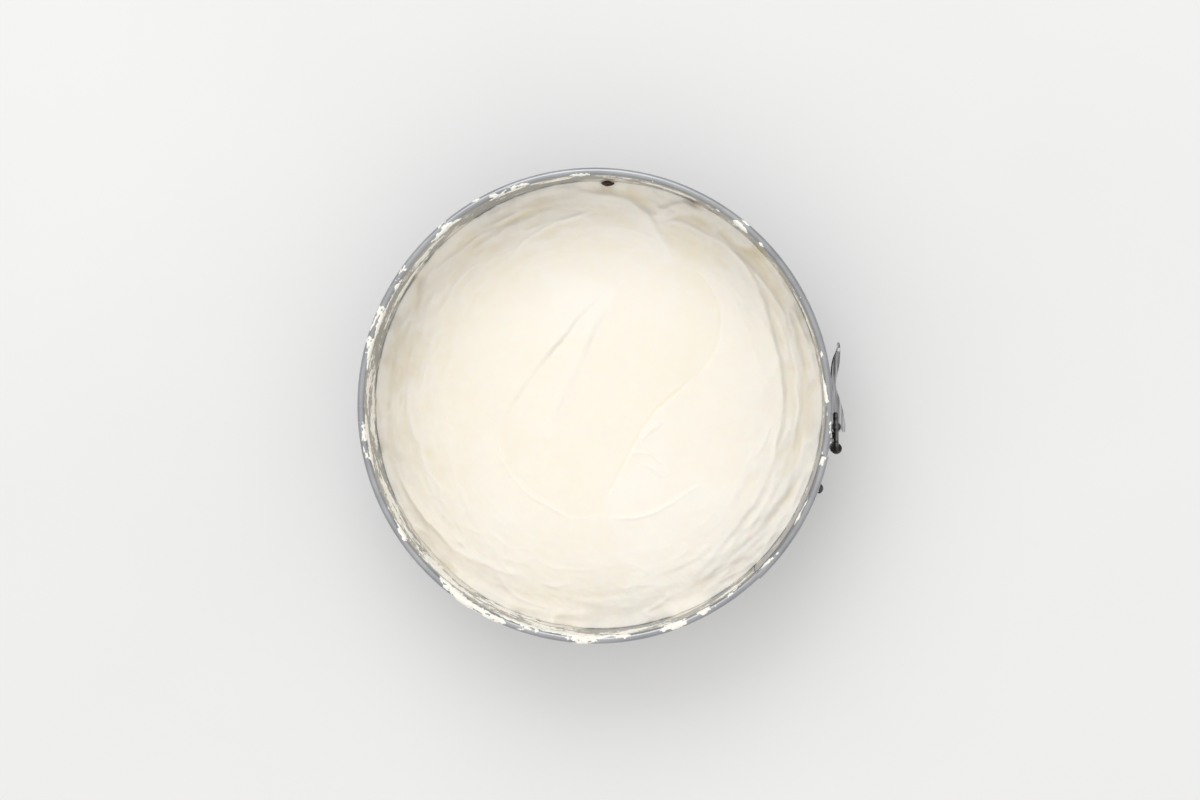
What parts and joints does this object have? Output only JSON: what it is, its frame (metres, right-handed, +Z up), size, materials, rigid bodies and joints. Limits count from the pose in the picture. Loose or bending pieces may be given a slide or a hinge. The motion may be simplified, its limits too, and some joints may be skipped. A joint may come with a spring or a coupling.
{
  "type": "springform pan",
  "caption": "Round springform cake pan: sprung steel band with rolled rim, over-centre wire latch, ridged loose base, filled with smooth cream batter.",
  "frame": {"origin": "middle of the base's underside, on the pan's axis", "axes": "+Z up along the pan's axis, +X from the axis towards the latch"},
  "size_m": [0.2469, 0.242, 0.07],
  "materials": {
    "band_steel": "satin tinplate",
    "base_steel": "satin tinplate",
    "wire_steel": "plain drawn wire",
    "fitting_steel": "plated",
    "rivet_steel": "plated",
    "barrel_steel": "dark worn plating",
    "lever_chrome": "bright",
    "cream": "moist satin batter"
  },
  "bodies": {
    "base": {"base_plate": "base_steel"},
    "ring": {"band_inner_half": "band_steel", "rim_wire_inner": "wire_steel", "lever_bracket": "fitting_steel", "bracket_rivets": "rivet_steel", "lever_pin": "rivet_steel"},
    "ring_far_half": {"band_outer_half": "band_steel", "rim_wire_outer": "wire_steel", "keeper": "fitting_steel", "keeper_rivets": "rivet_steel"},
    "lever": {"lever": "lever_chrome"},
    "bail": {"bail_wire": "wire_steel", "bail_barrel": "barrel_steel"},
    "filling": {"filling": "cream"}
  },
  "joints": [
    {"name": "ring_lift", "type": "slide", "parent": "base", "child": "ring", "axis": [0, 0, 1], "range_m": [0, 0.1]},
    {"name": "filling_lift", "type": "slide", "parent": "base", "child": "filling", "axis": [0, 0, 1], "range_m": [0, 0.12]},
    {"name": "lever_throw", "type": "hinge", "parent": "ring", "child": "lever", "pos_m": [0.1214, -0.0105, 0.05], "axis": [0, 0, -1], "range_deg": [0, 120]},
    {"name": "bail_swing", "type": "hinge", "parent": "lever", "child": "bail", "pos_m": [0.121, -0.0044, 0.05], "axis": [0, 0, 1], "range_deg": [0, 163]},
    {"name": "band_flex", "type": "hinge", "parent": "ring", "child": "ring_far_half", "pos_m": [-0.1193, 0, 0.035], "axis": [0, 0, -1], "range_deg": [0, 1.9]}
  ],
  "couplings": [
    {"joint": "bail_swing", "follows": "lever_throw", "ratio": 1.35},
    {"joint": "band_flex", "follows": "lever_throw", "ratio": 0.0155}
  ]
}
